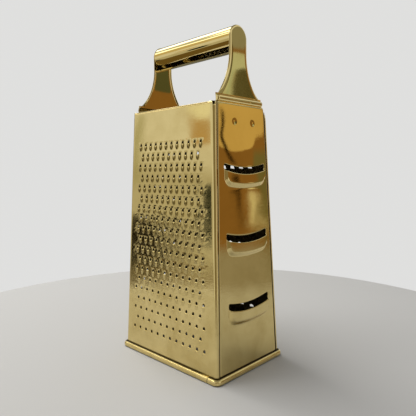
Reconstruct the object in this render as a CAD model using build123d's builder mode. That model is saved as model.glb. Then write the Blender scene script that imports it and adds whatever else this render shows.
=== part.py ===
from build123d import *
import os
from math import asin, atan2, cos, degrees, radians, sin, sqrt, tan

os.makedirs("parts", exist_ok=True)

# A four-sided box grater with a tube grip, in millimetres.
# Z is up from the table, X runs along the grip, the fine shredding side faces -Y
# and the slicing side faces +X. The origin is on the table, under the middle.

# The tapered body, measured over the outside of the sheet
foot_width = 105.8
foot_depth = 72.6
top_width = 90.6
top_depth = 58.8
body_top = 195.0
sheet = 0.6
bend = 2.4

# Corner seams: the wide panels wrap round the corners, the narrow ones tuck in behind
lap = 3.2
seam_gap = 0.3
tuck = 4.8
joggle_turn = 45
hem_height = 5.4
hem_end = 5.3
notch = 1.7
notch_depth = 2.4
back_corner = 5.0

# Fine shredding side: staggered rows of small scoops, closer together towards the top
fine_rows = 19
fine_columns = 12
fine_top_row = 168.6
fine_row_step = 8.22
fine_pitch_top = 6.18
fine_pitch_foot = 7.39
fine_shift = -0.6
fine_radius = 1.6
fine_length = 4.4
fine_wall = 0.38
fine_hole = 1.1
fine_drop = 0.75

# Coarse shredding side
coarse_rows = 12
coarse_columns = 8
coarse_top_row = 164.0
coarse_row_step = 12.9
coarse_pitch_top = 9.1
coarse_pitch_foot = 10.8
coarse_radius = 2.9
coarse_length = 8.4
coarse_wall = 0.55
coarse_hole = 2.1
coarse_drop = 1.2

# Every scoop: its tip's share of its mouth, its closed end in walls, how deep it sits in the sheet
scoop_tip = 0.3
scoop_end = 1.5
scoop_sunk = 0.15

# Zesting side: small pierced points, each a raised ring round its hole
zest_rows = 23
zest_columns = 10
zest_top_row = 168.6
zest_row_step = 6.7
zest_pitch_top = 5.1
zest_pitch_foot = 6.1
zest_radius = 1.5
zest_tip_radius = 1.05
zest_bore = 0.85
zest_height = 1.0
zest_hole = 0.7

# Slicing side: three slots that smile upwards, each with a raised blade lip below it
slot_heights = (149.9, 100.4, 50.9)
slot_shift = 1.5
slot_half = 22.9
slot_sag = 2.9
slot_corner = 1.6
blade_drop = 5.0
blade_sag = 3.1
lip_rise = 2.0
lip_drop = 15.2
lip_sag = 2.4
lip_face_drop = 11.9
lip_face_half = 21.4
lip_corner = 6.0
lip_face_corner = 5.0
lip_wall = 0.6
lip_mouth = 1.5

# Grip tube between the dished heads of two pressed brackets
grip_height = 242.1
grip_radius = 9.2
grip_wall = 0.8
seat_gap = 0.02
bracket_face = 43.0
bracket_sheet = 0.8
bracket_rim = 0.8
rim_land = 0.25
bracket_head = 9.5
bevel_depth = 1.5
bevel_width = 1.7
shoulder_radius = 44.0
shoulder_top = 232.4
shoulder_foot = 199.3
bead_half = 25.6
bead_centre_low = 195.6
bead_centre_high = 199.3
bead_reach = 45.5
bead_bend = 1.0
bead_root = 1.5
bead_root_bend = 0.5
tongue_half = 24.0
tongue_foot = 173.0
weld_height = 182.5
weld_spacing = 20.4
weld_radius = 1.5
weld_depth = 0.2
weld_dimple = 0.2
weld_dimple_radius = 1.8

# Rolled band round the foot
band_reach = 2.54
band_height = 4.45
band_sheet = 0.6
band_leg = 5.5
band_leg_outside = -1.5
band_lip_gap = 0.12
band_low_bend = 1.5
band_top_bend = 2.2
band_joint = 45.6
band_joint_gap = 0.5

lean_x = (foot_width - top_width) / 2 / body_top
lean_y = (foot_depth - top_depth) / 2 / body_top
slope_x = sqrt(1 + lean_x**2)
slope_y = sqrt(1 + lean_y**2)
corner_length = (body_top - band_sheet) * sqrt(1 + lean_x**2 + lean_y**2)
joggle = lap + seam_gap + 2 * sheet


def half_width(z):
    return foot_width / 2 - lean_x * z


def half_depth(z):
    return foot_depth / 2 - lean_y * z


# One tilted plane on the outside of each side: its y runs up the slope from the table
front_face = Plane(origin=(0, -half_depth(0), 0), x_dir=(1, 0, 0), z_dir=(0, -1, lean_y))
back_face = Plane(origin=(0, half_depth(0), 0), x_dir=(-1, 0, 0), z_dir=(0, 1, lean_y))
right_face = Plane(origin=(half_width(0), 0, 0), x_dir=(0, 1, 0), z_dir=(1, 0, lean_x))
left_face = Plane(origin=(-half_width(0), 0, 0), x_dir=(0, -1, 0), z_dir=(-1, 0, lean_x))


def outline(points, z, radii):
    """Closed outline at height z, with a radius for each of its corners."""
    with BuildSketch(Plane.XY.offset(z)) as shape:
        with BuildLine():
            FilletPolyline(*points, radius=radii, close=True)
        make_face()
    return shape.sketch.face()


def wall(plane, half, slope, taken, low=band_sheet, places=(), hole=0.0):
    """Flat wall between two corners, up to the body's top, with round holes at its places."""
    corners = [(-1, low), (1, low), (1, body_top), (-1, body_top)]
    with BuildSketch(plane) as shape:
        with BuildLine():
            Polyline(*[(x * (half(z) - taken), z * slope) for x, z in corners], close=True)
        make_face()
        if places:
            with Locations(*places):
                Circle(hole, mode=Mode.SUBTRACT)
    return shape.sketch.face()


def shifted(plane, x, y):
    """The same tilted plane, moved level by x and y."""
    return Plane(origin=plane.origin + Vector(x, y, 0), x_dir=plane.x_dir, z_dir=plane.z_dir)


def wide_corner(x, y):
    """Section of a wide panel where it wraps round a corner, at the foot."""
    a = half_width(band_sheet)
    b = half_depth(band_sheet)
    outside = [(a - lap, b), (a, b), (a, b - lap)]
    inside = [(a - sheet, b - lap), (a - sheet, b - sheet), (a - lap, b - sheet)]
    points = [(x * across, y * along) for across, along in outside + inside]
    return outline(points, band_sheet, [0, bend, 0, 0, bend - sheet, 0])


def narrow_corner(x, y):
    """Section of a narrow panel's edge at the foot: a joggle, then a flange tucked in behind."""
    a = half_width(band_sheet)
    b = half_depth(band_sheet)
    edge = b - lap - seam_gap
    shift = sheet * tan(radians(joggle_turn / 2))
    outside = [
        (a, b - joggle),
        (a, edge - sheet),
        (a - sheet, edge),
        (a - sheet, b - sheet),
        (a - tuck, b - sheet),
    ]
    inside = [
        (a - tuck, b - 2 * sheet),
        (a - 2 * sheet, b - 2 * sheet),
        (a - 2 * sheet, edge - shift),
        (a - sheet, edge - sheet - shift),
        (a - sheet, b - joggle),
    ]
    points = [(x * across, y * along) for across, along in outside + inside]
    return outline(points, band_sheet, [0, 0, 0, bend - sheet, 0, 0, bend - 2 * sheet, 0, 0, 0])


def corner_run(x, y):
    """Direction of one corner of the body, from the foot to the top."""
    return Vector(-x * lean_x, -y * lean_y, 1)


def corner_notches():
    """Places of the notches across the two top corners in front, each turned to face its corner."""
    a = half_width(body_top)
    b = half_depth(body_top)
    return [Location((x * a, -b, body_top), (0, 0, 45 * x)) for x in (-1, 1)]


def rounded_off(plane, side, edge):
    """What lies outside a rounded top corner whose upright side is at edge, seen along a plane."""
    low = body_top - back_corner
    near = edge - back_corner
    corners = [(near, low), (edge + bend, low), (edge + bend, body_top + bend), (near, body_top + bend)]
    with BuildSketch(plane) as shape:
        with BuildLine():
            Polyline(*[(side * across, up) for across, up in corners], close=True)
        make_face()
        with Locations((side * near, low)):
            Circle(back_corner, mode=Mode.SUBTRACT)
    return shape.sketch.face()


def back_corner_cuts(x):
    """The two cuts that round off a top corner at the back, one along each of its walls."""
    a = half_width(body_top)
    b = half_depth(body_top)
    return [rounded_off(Plane.YZ.offset(x * a), 1, b), rounded_off(Plane.XZ.offset(-b), x, a)]


def staggered(rows, columns, top_row, row_step, pitch_top, pitch_foot, shift=0.0):
    """Places of a staggered field: odd rows full, even rows one short, wider towards the foot."""
    places = []
    for row in range(rows):
        pitch = pitch_top + (pitch_foot - pitch_top) * row / (rows - 1)
        count = columns - row % 2
        for column in range(count):
            across = shift + (column - (count - 1) / 2) * pitch
            places.append((across, top_row - row * row_step))
    return places


def scoop(radius, length, wall_thickness, drop):
    """Half-cone hood, its mouth this far below the hole's middle, sunk a little into the sheet."""
    inner = radius - wall_thickness
    with BuildPart() as hood:
        with Locations((0, -drop, -scoop_sunk)):
            Cone(radius, scoop_tip * radius, length, arc_size=180, rotation=(90, 0, 0), align=Align.NONE)
            Cone(
                inner,
                scoop_tip * inner,
                length - scoop_end * wall_thickness,
                rotation=(90, 0, 0),
                align=Align.NONE,
                mode=Mode.SUBTRACT,
            )
    return hood.part


def zest_point():
    """Raised ring that stands round a pierced hole, sunk a little into the sheet."""
    height = zest_height + scoop_sunk
    standing = (Align.CENTER, Align.CENTER, Align.MIN)
    with BuildPart() as ring:
        with Locations((0, 0, -scoop_sunk)):
            Cone(zest_radius, zest_tip_radius, height, align=standing)
            Cylinder(zest_bore, height, align=standing, mode=Mode.SUBTRACT)
    return ring.part


def slot_plane(height, out):
    """Plane on a slicing slot's upper edge, this far out from the slicing side."""
    return right_face * Location((slot_shift, height, out))


def slot_outline(height):
    """The slot itself, between the sheet's curved edge above and the blade edge below."""
    blade_end = blade_sag - blade_drop
    with BuildSketch(slot_plane(height, -2 * sheet)) as shape:
        with BuildLine():
            ThreePointArc((-slot_half, slot_sag), (0, 0), (slot_half, slot_sag))
            Line((slot_half, slot_sag), (slot_half, blade_end))
            ThreePointArc((slot_half, blade_end), (0, -blade_drop), (-slot_half, blade_end))
            Line((-slot_half, blade_end), (-slot_half, slot_sag))
        make_face()
        fillet(shape.vertices(), slot_corner)
    return shape.sketch.face()


def lip_outline(height, out, half, top, low, corner):
    """Outline of a blade lip this far out: top is its upper edge, low its lower edge, at the middle."""
    with BuildSketch(slot_plane(height, out)) as shape:
        with BuildLine():
            ThreePointArc((-half, top + blade_sag), (0, top), (half, top + blade_sag))
            Line((half, top + blade_sag), (half, low + lip_sag))
            ThreePointArc((half, low + lip_sag), (0, low), (-half, low + lip_sag))
            Line((-half, low + lip_sag), (-half, top + blade_sag))
        make_face()
        fillet(shape.vertices().sort_by(Axis.Y)[:2], corner)
    return shape.sketch.face()


def lip_body(height):
    """The two outlines of a blade lip's outside, at the sheet and at its raised face."""
    return [
        lip_outline(height, -scoop_sunk, slot_half, -blade_drop, -lip_drop, lip_corner),
        lip_outline(height, lip_rise, lip_face_half, -blade_drop, -lip_face_drop, lip_face_corner),
    ]


def lip_hollow(height):
    """The two outlines of the hollow under a blade lip, open inwards and towards the slot."""
    slant = (lip_drop - lip_face_drop) / lip_rise
    flare = (slot_half - lip_face_half) / lip_rise
    faces = []
    for out in (-2 * sheet, lip_rise - lip_wall):
        half = slot_half - flare * out - lip_wall * sqrt(1 + flare**2)
        low = slant * out - lip_drop + lip_wall * sqrt(1 + slant**2)
        corner = lip_corner - (lip_corner - lip_face_corner) * out / lip_rise - lip_wall
        faces.append(lip_outline(height, out, half, -lip_mouth, low, corner))
    return faces


def bracket_outline(plane, inset):
    """A bracket's outline: round head, straight neck, and shoulders that spread to the body's top."""
    head = bracket_head - inset
    reach = shoulder_radius + inset
    middle = bracket_head + shoulder_radius
    foot = middle - sqrt(reach**2 - (shoulder_top - shoulder_foot) ** 2)
    turn = asin((shoulder_top - shoulder_foot) / reach) / 2
    on_curve = (middle - reach * cos(turn), shoulder_top - reach * sin(turn))
    with BuildSketch(plane) as shape:
        with BuildLine():
            ThreePointArc((head, grip_height), (0, grip_height + head), (-head, grip_height))
            Line((-head, grip_height), (-head, shoulder_top))
            ThreePointArc((-head, shoulder_top), (-on_curve[0], on_curve[1]), (-foot, shoulder_foot))
            Line((-foot, shoulder_foot), (foot, shoulder_foot))
            ThreePointArc((foot, shoulder_foot), on_curve, (head, shoulder_top))
            Line((head, shoulder_top), (head, grip_height))
        make_face()
    return shape.sketch.face()


def bead_profile():
    """Section of the bead that a bracket rolls over the edge of the panel it stands on."""
    with BuildSketch(Plane.XZ) as shape:
        with BuildLine() as line:
            middle = bracket_face - bracket_sheet / 2
            FilletPolyline(
                (middle, bead_centre_high + bead_root),
                (middle, bead_centre_high),
                (bead_reach, bead_centre_high),
                (bead_reach, bead_centre_low),
                (tongue_middle(bead_centre_low), bead_centre_low),
                radius=[bead_root_bend, bead_bend, bead_bend],
            )
        trace(line.line, line_width=bracket_sheet)
    return shape.sketch.face()


def tongue_middle(z):
    """Middle of the tongue's sheet at height z, just inside the narrow panel."""
    return half_width(z) - sheet - bracket_sheet / 2


def tongue_profile():
    """Section of the tongue that reaches down inside the narrow panel."""
    top = tongue_middle(bead_centre_low)
    foot = tongue_middle(tongue_foot)
    half = bracket_sheet / 2
    points = [
        (top - half, bead_centre_low),
        (top + half, bead_centre_low),
        (foot + half, tongue_foot),
        (foot - half, tongue_foot),
    ]
    with BuildSketch(Plane.XZ) as shape:
        with BuildLine():
            Polyline(*points, close=True)
        make_face()
    return shape.sketch.face()


def weld_places(side):
    """Middles of a bracket's two spot welds, across and up the slope of its side."""
    return [(side * slot_shift + x * weld_spacing / 2, weld_height * slope_x) for x in (-1, 1)]


fine_places = staggered(
    fine_rows, fine_columns, fine_top_row, fine_row_step, fine_pitch_top, fine_pitch_foot, fine_shift
)
coarse_places = staggered(
    coarse_rows, coarse_columns, coarse_top_row, coarse_row_step, coarse_pitch_top, coarse_pitch_foot
)
zest_places = staggered(
    zest_rows, zest_columns, zest_top_row, zest_row_step, zest_pitch_top, zest_pitch_foot
)

# Fine shredding panel, in front
fine_scoop = scoop(fine_radius, fine_length, fine_wall, fine_drop)
with BuildPart() as front_shredder_panel:
    extrude(
        wall(front_face, half_width, slope_y, lap, places=fine_places, hole=fine_hole),
        amount=sheet,
        dir=(0, 1, 0),
    )
    for x in (-1, 1):
        extrude(wide_corner(x, -1), amount=corner_length, dir=corner_run(x, -1))
    extrude(
        wall(shifted(front_face, 0, sheet), half_width, slope_y, hem_end, low=body_top - hem_height),
        amount=sheet,
        dir=(0, 1, 0),
    )
    with Locations(*corner_notches()):
        Box(notch, 4 * bend, 2 * notch_depth, mode=Mode.SUBTRACT)
    with Locations(front_face):
        with Locations(*fine_places):
            add(fine_scoop)
front_shredder_panel.part.label = "front_shredder_panel"
export_step(front_shredder_panel.part, "parts/front_shredder_panel.step")

# Coarse shredding panel, behind
coarse_scoop = scoop(coarse_radius, coarse_length, coarse_wall, coarse_drop)
with BuildPart() as back_coarse_panel:
    extrude(
        wall(back_face, half_width, slope_y, lap, places=coarse_places, hole=coarse_hole),
        amount=sheet,
        dir=(0, -1, 0),
    )
    for x in (-1, 1):
        extrude(wide_corner(x, 1), amount=corner_length, dir=corner_run(x, 1))
    extrude(
        wall(shifted(back_face, 0, -sheet), half_width, slope_y, hem_end, low=body_top - hem_height),
        amount=sheet,
        dir=(0, -1, 0),
    )
    for x in (-1, 1):
        for cut in back_corner_cuts(x):
            extrude(cut, amount=bend, both=True, mode=Mode.SUBTRACT)
    with Locations(back_face):
        with Locations(*coarse_places):
            add(coarse_scoop)
back_coarse_panel.part.label = "back_coarse_panel"
export_step(back_coarse_panel.part, "parts/back_coarse_panel.step")

# Slicing panel, on the right
with BuildPart() as right_slicer_panel:
    extrude(wall(right_face, half_depth, slope_x, joggle), amount=sheet, dir=(-1, 0, 0))
    for y in (-1, 1):
        extrude(narrow_corner(1, y), amount=corner_length, dir=corner_run(1, y))
    for cut in back_corner_cuts(1):
        extrude(cut, amount=bend, both=True, mode=Mode.SUBTRACT)
    for height in slot_heights:
        loft(lip_body(height), ruled=True)
        loft(lip_hollow(height), ruled=True, mode=Mode.SUBTRACT)
        extrude(slot_outline(height), amount=2 * sheet, mode=Mode.SUBTRACT)
    with Locations(right_face):
        with Locations(*weld_places(1)):
            Cylinder(weld_dimple_radius, 2 * weld_dimple, mode=Mode.SUBTRACT)
    with Locations(shifted(right_face, -sheet, 0)):
        with Locations(*weld_places(1)):
            Cylinder(weld_radius, 2 * weld_depth, mode=Mode.SUBTRACT)
right_slicer_panel.part.label = "right_slicer_panel"
export_step(right_slicer_panel.part, "parts/right_slicer_panel.step")

# Zesting panel, on the left
zest_ring = zest_point()
with BuildPart() as left_zester_panel:
    extrude(
        wall(left_face, half_depth, slope_x, joggle, places=zest_places, hole=zest_hole),
        amount=sheet,
        dir=(1, 0, 0),
    )
    for y in (-1, 1):
        extrude(narrow_corner(-1, y), amount=corner_length, dir=corner_run(-1, y))
    for cut in back_corner_cuts(-1):
        extrude(cut, amount=bend, both=True, mode=Mode.SUBTRACT)
    with Locations(left_face):
        with Locations(*weld_places(-1)):
            Cylinder(weld_dimple_radius, 2 * weld_dimple, mode=Mode.SUBTRACT)
    with Locations(shifted(left_face, sheet, 0)):
        with Locations(*weld_places(-1)):
            Cylinder(weld_radius, 2 * weld_depth, mode=Mode.SUBTRACT)
    with Locations(left_face):
        with Locations(*zest_places):
            add(zest_ring)
left_zester_panel.part.label = "left_zester_panel"
export_step(left_zester_panel.part, "parts/left_zester_panel.step")

# Pressed bracket that carries the grip's right end
with BuildPart() as right_handle_bracket:
    rim_start = bracket_face - bevel_depth - bracket_rim
    bevel_angle = degrees(atan2(bevel_width, bevel_depth))
    bevel_start = Plane.YZ.offset(rim_start + bracket_rim)
    extrude(bracket_outline(Plane.YZ.offset(rim_start), 0), amount=bracket_rim)
    extrude(bracket_outline(bevel_start, 0), amount=bevel_depth, taper=bevel_angle)
    hollow_start = rim_start + bracket_rim - bracket_sheet
    extrude(
        bracket_outline(Plane.YZ.offset(hollow_start), rim_land),
        amount=bevel_depth,
        taper=bevel_angle,
        mode=Mode.SUBTRACT,
    )
    extrude(bead_profile(), amount=bead_half, both=True)
    extrude(tongue_profile(), amount=tongue_half, both=True)
    with Locations(shifted(right_face, -sheet, 0)):
        with Locations(*weld_places(1)):
            Cylinder(weld_radius, 2 * weld_depth, mode=Mode.SUBTRACT)
right_handle_bracket.part.label = "right_handle_bracket"
export_step(right_handle_bracket.part, "parts/right_handle_bracket.step")

# The left bracket is its mirror image
with BuildPart() as left_handle_bracket:
    mirror(right_handle_bracket.part, about=Plane.YZ)
left_handle_bracket.part.label = "left_handle_bracket"
export_step(left_handle_bracket.part, "parts/left_handle_bracket.step")

# Spot welds between each bracket's tongue and its panel
with BuildPart() as right_bracket_welds:
    with Locations(shifted(right_face, -sheet, 0)):
        with Locations(*weld_places(1)):
            Cylinder(weld_radius, 2 * weld_depth)
right_bracket_welds.part.label = "right_bracket_welds"
export_step(right_bracket_welds.part, "parts/right_bracket_welds.step")

with BuildPart() as left_bracket_welds:
    with Locations(shifted(left_face, sheet, 0)):
        with Locations(*weld_places(-1)):
            Cylinder(weld_radius, 2 * weld_depth)
left_bracket_welds.part.label = "left_bracket_welds"
export_step(left_bracket_welds.part, "parts/left_bracket_welds.step")

# Grip tube, its ends coned to seat in the dished heads
with BuildPart() as grip_tube:
    seat_start = bracket_face - bevel_depth - bracket_sheet - seat_gap
    seat_slope = bevel_depth / bevel_width
    outer_end = seat_start + (bracket_head - rim_land - grip_radius) * seat_slope
    inner_end = outer_end + grip_wall * seat_slope
    with BuildSketch(Plane.XZ):
        with BuildLine():
            Polyline(
                (-outer_end, grip_height + grip_radius),
                (outer_end, grip_height + grip_radius),
                (inner_end, grip_height + grip_radius - grip_wall),
                (-inner_end, grip_height + grip_radius - grip_wall),
                close=True,
            )
        make_face()
    revolve(axis=Axis((0, 0, grip_height), (1, 0, 0)))
grip_tube.part.label = "grip_tube"
export_step(grip_tube.part, "parts/grip_tube.step")

# Rolled band round the foot, with one butt joint in front
with BuildPart() as base_band:
    a = foot_width / 2
    b = foot_depth / 2
    gap = band_joint_gap / 2
    with BuildLine():
        FilletPolyline(
            (band_joint + gap, -b),
            (a, -b),
            (a, b),
            (-a, b),
            (-a, -b),
            (band_joint - gap, -b),
            radius=bend,
        )
    leg = band_leg_outside - band_sheet
    roll = band_reach - band_sheet
    profile = [
        (leg, 0),
        (band_reach, 0),
        (band_reach, band_height),
        (-band_lip_gap, band_height),
        (-band_lip_gap, band_height - band_sheet),
        (roll, band_height - band_sheet),
        (roll, band_sheet),
        (band_leg_outside, band_sheet),
        (band_leg_outside, band_leg),
        (leg, band_leg),
    ]
    top_bend = band_top_bend - band_sheet
    low_bend = band_low_bend - band_sheet
    with BuildSketch(Plane(origin=(band_joint + gap, -b, 0), x_dir=(0, -1, 0), z_dir=(-1, 0, 0))):
        with BuildLine():
            FilletPolyline(
                *profile,
                radius=[0, band_low_bend, band_top_bend, 0, 0, top_bend, low_bend, 0, 0, 0],
                close=True,
            )
        make_face()
    sweep()
base_band.part.label = "base_band"
export_step(base_band.part, "parts/base_band.step")
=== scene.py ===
import bpy
import bmesh
import numpy as np
from math import degrees, radians
from mathutils import Matrix


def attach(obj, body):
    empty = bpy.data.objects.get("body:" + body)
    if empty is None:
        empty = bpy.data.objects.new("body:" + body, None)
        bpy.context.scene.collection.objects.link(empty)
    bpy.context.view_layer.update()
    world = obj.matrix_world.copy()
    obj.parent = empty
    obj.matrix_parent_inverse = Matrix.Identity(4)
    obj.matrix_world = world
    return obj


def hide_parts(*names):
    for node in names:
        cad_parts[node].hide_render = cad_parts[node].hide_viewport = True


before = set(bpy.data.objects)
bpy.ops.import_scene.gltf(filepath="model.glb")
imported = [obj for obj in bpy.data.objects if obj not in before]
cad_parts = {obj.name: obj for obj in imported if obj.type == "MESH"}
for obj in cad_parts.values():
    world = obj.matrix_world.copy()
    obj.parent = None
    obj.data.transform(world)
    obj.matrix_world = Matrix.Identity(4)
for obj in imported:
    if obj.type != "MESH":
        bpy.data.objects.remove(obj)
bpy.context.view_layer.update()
print("frame loaded:", sorted(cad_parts))

# A gold box grater. Shapes are worked out in millimetres and written to the meshes in metres.
mm = 0.001
body = {
    "footHalfX": 52.9, "footHalfY": 36.3, "topHalfX": 45.3, "topHalfY": 29.4, "top": 195.0, "foot": 0.6,
    "sheet": 0.6, "bend": 2.4, "lap": 2.75, "seamGap": 0.75, "tuck": 4.8, "backCorner": 5.0, "notch": 2.4,
    "hemEnd": 5.3,
}


def halfX(z):  # half the body's width at height z, over the outside of the sheet
    return body["footHalfX"] + (body["topHalfX"] - body["footHalfX"]) * z / body["top"]


def halfY(z):  # half the body's depth at height z
    return body["footHalfY"] + (body["topHalfY"] - body["footHalfY"]) * z / body["top"]


def gridQuads(rows, columns, closed=False, keep=None):
    # squares of a grid whose points run along each row; closed joins the last column to the first
    i, j = np.meshgrid(np.arange(rows - 1), np.arange(columns if closed else columns - 1), indexing="ij")
    following = (j + 1) % columns
    quads = np.stack([i * columns + j, i * columns + following,
                      (i + 1) * columns + following, (i + 1) * columns + j], axis=-1)
    return quads[keep] if keep is not None else quads.reshape(-1, 4)


def surface(points, closed=False, keep=None):
    # a grid of points, rows by columns by three, as one piece of surface
    rows, columns = points.shape[:2]
    return points.reshape(-1, 3), gridQuads(rows, columns, closed, keep)


def joined(parts):
    # several pieces of surface as one; a piece that says nothing of its marks has no painted shade and is not
    # punched
    starts = np.cumsum([0] + [len(part[0]) for part in parts[:-1]])
    points = np.concatenate([part[0] for part in parts])
    quads = np.concatenate([part[1] + start for part, start in zip(parts, starts)])
    marks = [np.concatenate([part[k] if len(part) > k else np.zeros(len(part[0])) for part in parts])
             for k in (2, 3)]
    return points, quads, *marks


def rounded(points, radii, steps=5):
    # a polyline whose corners are arcs, each running between the points where its circle touches the sides
    points = np.asarray(points, float)
    out = [points[:1]]
    for before, corner, after, radius in zip(points[:-2], points[1:-1], points[2:], radii):
        a = (before - corner) / np.linalg.norm(before - corner)
        b = (after - corner) / np.linalg.norm(after - corner)
        half = np.arccos(np.clip(a @ b, -1, 1)) / 2
        if radius <= 0 or half > 1.56:
            out.append(corner[None])
            continue
        middle = corner + (a + b) / np.linalg.norm(a + b) * radius / np.sin(half)
        start, end = corner + a * radius / np.tan(half) - middle, corner + b * radius / np.tan(half) - middle
        turn = np.pi - 2 * half
        t = np.linspace(0, 1, steps + 1)[:, None]
        out.append(middle + (np.sin((1 - t) * turn) * start + np.sin(t * turn) * end) / np.sin(turn))
    out.append(points[-1:])
    return np.concatenate(out)


def ribbon(path, half):
    # a sheet's section round its middle line: the line moved half a thickness to each side, ends joined
    step = np.gradient(path, axis=0)
    side = np.stack([-step[:, 1], step[:, 0]], axis=-1)
    side = side / np.linalg.norm(side, axis=1)[:, None]
    return np.concatenate([path + side * half, (path - side * half)[::-1]])


def sweptLoop(rings):
    # a closed profile carried along a path, rings by points by three, with both ends closed to their middles
    first = np.repeat(rings[:1].mean(axis=1, keepdims=True), rings.shape[1], axis=1)
    last = np.repeat(rings[-1:].mean(axis=1, keepdims=True), rings.shape[1], axis=1)
    return surface(np.concatenate([first, rings, last]), closed=True)


# what each point carries: how much shade is painted on it, and whether punches shook it
pointMarks = ("pressed", "punched")


def makeObject(name, points, quads, material):
    # an object at the origin with one mesh and one material
    mesh = bpy.data.meshes.new(name)
    mesh.from_pydata(points.tolist(), [], quads.tolist())
    mesh.materials.append(material)
    made = bpy.data.objects.new(name, mesh)
    bpy.context.scene.collection.objects.link(made)
    return made


def makePiece(name, parts, material, nodes, thickness=0.0, sharp=30.0, closed=False, lining=None):
    # one mesh from pieces of surface in millimetres; a thickness makes a sheet of it, grown inwards
    points, quads, *marks = joined(parts)
    piece = makeObject(name, points * mm, quads, material)
    mesh = piece.data
    for label, values in zip(pointMarks, marks):
        mesh.attributes.new(label, "FLOAT", "POINT").data.foreach_set("value", values)
    work = bmesh.new()
    work.from_mesh(mesh)
    bmesh.ops.remove_doubles(work, verts=work.verts, dist=0.004 * mm)
    bmesh.ops.dissolve_degenerate(work, edges=work.edges, dist=0.003 * mm)
    if closed:
        bmesh.ops.recalc_face_normals(work, faces=work.faces)
    work.to_mesh(mesh)
    work.free()
    mesh.polygons.foreach_set("use_smooth", np.ones(len(mesh.polygons), dtype=bool))
    mesh.set_sharp_from_angle(angle=radians(sharp))
    if thickness:
        solid = piece.modifiers.new("sheet", "SOLIDIFY")
        solid.thickness = thickness * mm
        solid.offset = -1
        solid.use_even_offset = False
        if lining:
            mesh.materials.append(lining)
            solid.material_offset = 1
    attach(piece, "root")
    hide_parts(*nodes)
    print("made", name, len(mesh.polygons), "faces")


def addNode(tree, kind, inputs=None, **settings):
    # one shader node with its settings; each input takes a plain value or another node's output
    node = tree.nodes.new("ShaderNode" + kind)
    for key, value in settings.items():
        setattr(node, key, value)
    for key, value in (inputs or {}).items():
        if isinstance(value, bpy.types.NodeSocket):
            tree.links.new(value, node.inputs[key])
        else:
            node.inputs[key].default_value = value
    return node


def compute(tree, operation, *inputs):
    # the result of one step of arithmetic on plain values or other nodes' outputs, in order
    return addNode(tree, "Math", dict(enumerate(inputs)), operation=operation).outputs[0]


def ramp(tree, value, low, high, start=0.0, end=1.0, smooth=False):
    # goes evenly, or smoothly, from start to end as the value goes from low to high, and is held beyond them
    kind = "SMOOTHSTEP" if smooth else "LINEAR"
    ends = {"From Min": low, "From Max": high, "To Min": start, "To Max": end}
    return addNode(tree, "MapRange", {"Value": value, **ends}, interpolation_type=kind).outputs["Result"]


def blend(tree, share, first, second):
    # a colour between two, each a plain colour or another node's output, by the share of the second
    ends = [tone if isinstance(tone, bpy.types.NodeSocket) else (*tone, 1) for tone in (first, second)]
    return addNode(tree, "Mix", {0: share, 6: ends[0], 7: ends[1]}, data_type="RGBA").outputs[2]


def noise(tree, place, scale, detail, roughness=0.5, distortion=0.0):
    # smooth noise from 0 to 1, with about scale features to a metre
    inputs = {"Scale": scale, "Detail": detail, "Roughness": roughness, "Distortion": distortion}
    return addNode(tree, "TexNoise", {"Vector": place, **inputs}).outputs["Fac"]


def stretched(tree, place, scale, turn=(0, 0, 0)):
    # a place scaled along each axis and then turned
    return addNode(tree, "Mapping", {"Vector": place, "Rotation": turn, "Scale": scale}).outputs["Vector"]


def heightOf(tree, place):
    # how high up a place is, in metres
    return addNode(tree, "SeparateXYZ", {"Vector": place}).outputs["Z"]


def newGroup(name, inputs, output):
    # an empty shader group: itself, what comes in, and the socket that takes its result; Vector is a place,
    # and the other inputs are numbers
    group = bpy.data.node_groups.new(name, "ShaderNodeTree")
    for label in inputs:
        kind = "NodeSocketVector" if label == "Vector" else "NodeSocketFloat"
        group.interface.new_socket(name=label, in_out="INPUT", socket_type=kind)
    group.interface.new_socket(name=output, in_out="OUTPUT", socket_type="NodeSocketFloat")
    given = group.nodes.new("NodeGroupInput").outputs
    return group, given, group.nodes.new("NodeGroupOutput").inputs[output]


# heights in metres between which, going down, these set in: grain, dents from punches, smudges, satin look
fades = {"grain": (0.15, 0.03), "dents": (0.165, 0.115), "smudges": (0.11, 0.04), "satin": (0.095, 0.035)}


def makeSheetWaves():
    # slow waves of hand-fed sheet, small dents left by the punches below the top rows, and a fine level grain
    # that is stronger low down, as a height in millimetres
    inputs = ("Vector", "Wave Size", "Wave Depth", "Grain Depth", "Grain Low Down", "Hammer Size",
              "Hammer Depth")
    group, given, result = newGroup("sheetWaves", inputs, "Height")
    place = given["Vector"]
    slow = noise(group, place, given["Wave Size"], 1.0, 0.35, 0.3)
    grain = noise(group, stretched(group, place, (140.0, 140.0, 5200.0)), 1.0, 3.0, 0.6)
    dents = noise(group, place, given["Hammer Size"], 1.0, 0.4)
    low = ramp(group, heightOf(group, place), *fades["grain"], smooth=True)
    grainDepth = compute(group, "MULTIPLY_ADD", low, given["Grain Low Down"], given["Grain Depth"])
    fine = compute(group, "MULTIPLY", grain, grainDepth)
    waves = compute(group, "MULTIPLY_ADD", slow, given["Wave Depth"], fine)
    belowTop = ramp(group, heightOf(group, place), *fades["dents"], smooth=True)
    dentDepth = compute(group, "MULTIPLY", belowTop, given["Hammer Depth"])
    group.links.new(compute(group, "MULTIPLY_ADD", dents, dentDepth, waves), result)
    return group


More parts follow.
